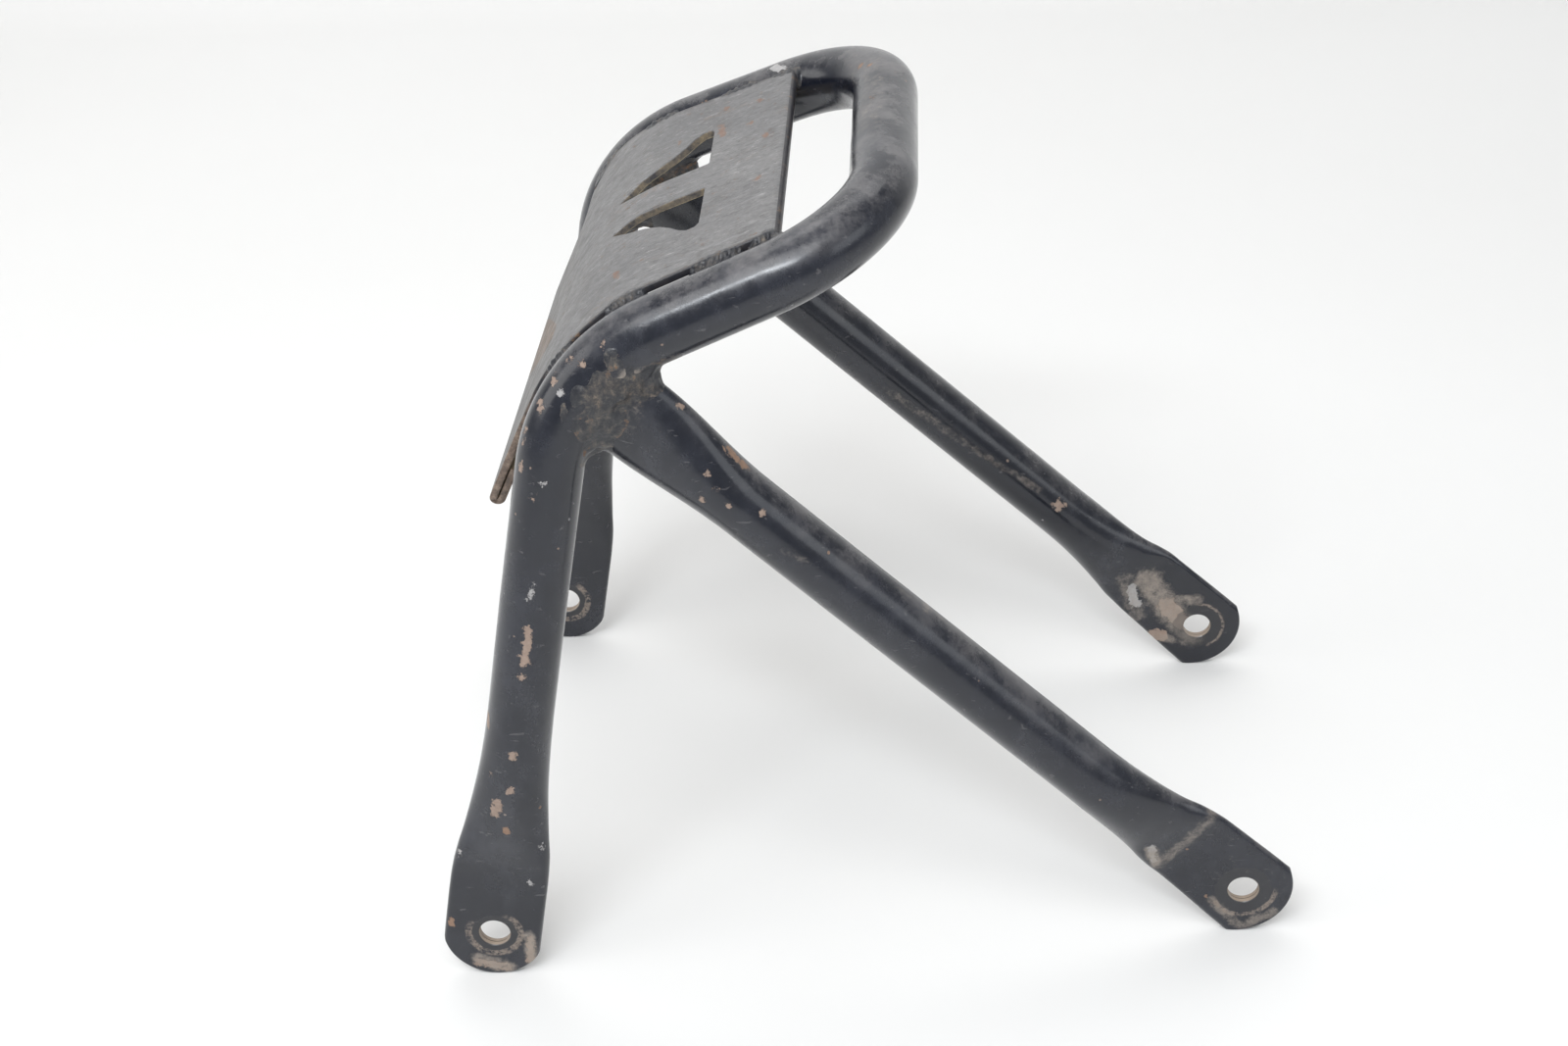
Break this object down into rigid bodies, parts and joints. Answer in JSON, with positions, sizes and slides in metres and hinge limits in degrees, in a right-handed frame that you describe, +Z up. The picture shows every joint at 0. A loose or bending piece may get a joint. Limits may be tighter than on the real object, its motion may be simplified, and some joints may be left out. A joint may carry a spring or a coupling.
{
  "type": "rear rack",
  "caption": "Rear rack: a bent tube hoop on two flattened feet, two rear struts with flattened feet, and a folded sheet deck with tapering cut-outs welded between the rails.",
  "frame": {"origin": "centre of the rack's footprint, on the ground plane through the lowest points of the four feet", "axes": "+X to the rear of the rack, along its length; +Y to its right side; +Z up"},
  "size_m": [0.3002, 0.2254, 0.2834],
  "materials": {
    "tube_paint": "worn gloss black",
    "deck_paint": "worn satin grey",
    "weld_paint": "rough, dirty and lightly rusted"
  },
  "bodies": {
    "root": {"main_hoop_tube": "tube_paint", "left_strut_tube": "tube_paint", "right_strut_tube": "tube_paint", "deck_plate": "deck_paint", "weld_deck_left_front": "weld_paint", "weld_deck_left_bend": "weld_paint", "weld_deck_left_mid": "weld_paint", "weld_deck_left_rear": "weld_paint", "weld_strut_left_outer_upper": "weld_paint", "weld_strut_left_outer_lower": "weld_paint", "weld_strut_left_inner": "weld_paint", "weld_deck_right_front": "weld_paint", "weld_deck_right_bend": "weld_paint", "weld_deck_right_mid": "weld_paint", "weld_deck_right_rear": "weld_paint", "weld_strut_right_outer_upper": "weld_paint", "weld_strut_right_outer_lower": "weld_paint", "weld_strut_right_inner": "weld_paint"}
  },
  "joints": []
}
